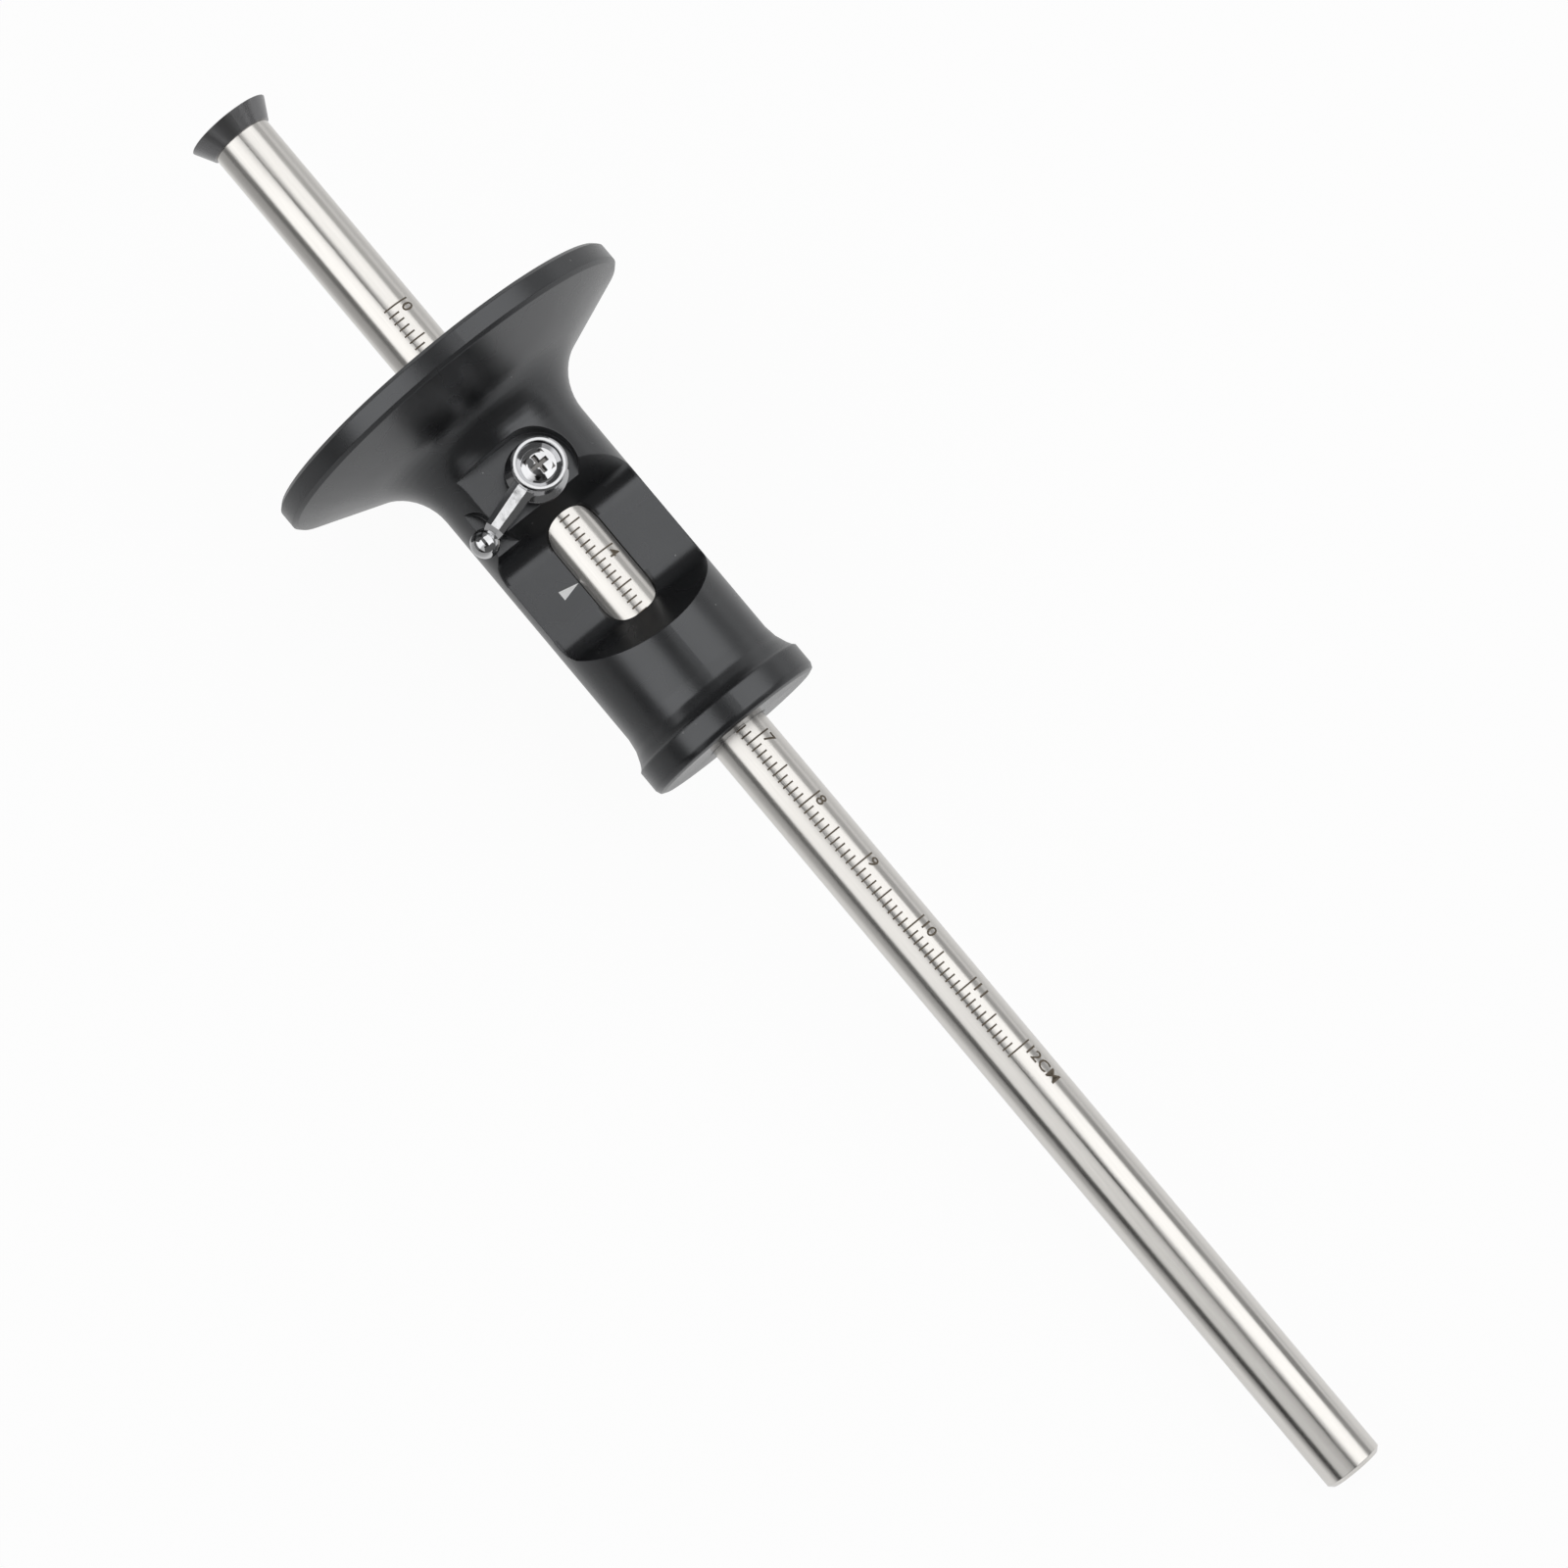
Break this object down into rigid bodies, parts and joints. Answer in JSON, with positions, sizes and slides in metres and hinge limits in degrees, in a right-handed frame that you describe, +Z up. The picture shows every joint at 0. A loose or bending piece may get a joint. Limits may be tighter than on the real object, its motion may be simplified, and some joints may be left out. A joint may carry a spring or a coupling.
{
  "type": "wheel marking gauge",
  "caption": "Wheel marking gauge: graduated steel rod with a cutting wheel, sliding in a black flanged body with a scale window and a locking lever.",
  "frame": {"origin": "centre of the fence's reference face, on the rod axis", "axes": "+X out of the fence face along the rod toward the cutting wheel, +Z up through the scale window, +Y toward the side where the lever lies"},
  "size_m": [0.2174, 0.052, 0.052],
  "materials": {
    "black_anodised": "fine blasted, black anodised",
    "stainless_rod": "ground lengthwise",
    "hardened_wheel": "ground",
    "screw_steel": "plain",
    "ring_rubber": "matte",
    "pad_brass": "turned",
    "lever_chrome": "polished"
  },
  "bodies": {
    "gauge": {"fence_body": "black_anodised"},
    "ring": {"rod_friction_ring": "ring_rubber"},
    "rod": {"rod": "stainless_rod", "wheel_screw": "screw_steel"},
    "wheel": {"cutter_wheel": "hardened_wheel"},
    "pad": {"clamp_pad": "pad_brass"},
    "lever": {"clamp_stud": "screw_steel", "lever_handle": "lever_chrome", "lever_screw": "lever_chrome"}
  },
  "joints": [
    {"name": "rod_turn", "type": "hinge", "parent": "gauge", "child": "ring", "pos_m": [-0.0462, 0, 0], "axis": [1, 0, 0], "continuous": true},
    {"name": "rod_slide", "type": "slide", "parent": "ring", "child": "rod", "axis": [1, 0, 0], "range_m": [-0.0418, 0.115]},
    {"name": "wheel_index", "type": "hinge", "parent": "rod", "child": "wheel", "pos_m": [0.03895, 0, 0], "axis": [1, 0, 0], "continuous": true},
    {"name": "pad_press", "type": "slide", "parent": "gauge", "child": "pad", "axis": [0, 0, 1], "range_m": [-0.00002, 0.000177]},
    {"name": "lever_swing", "type": "hinge", "parent": "pad", "child": "lever", "pos_m": [-0.0178, 0, 0.008], "axis": [0, 0, 1], "range_deg": [-9.1, 80]}
  ],
  "couplings": [
    {"joint": "lever_swing", "follows": "pad_press", "rad_per_m": 7854}
  ]
}
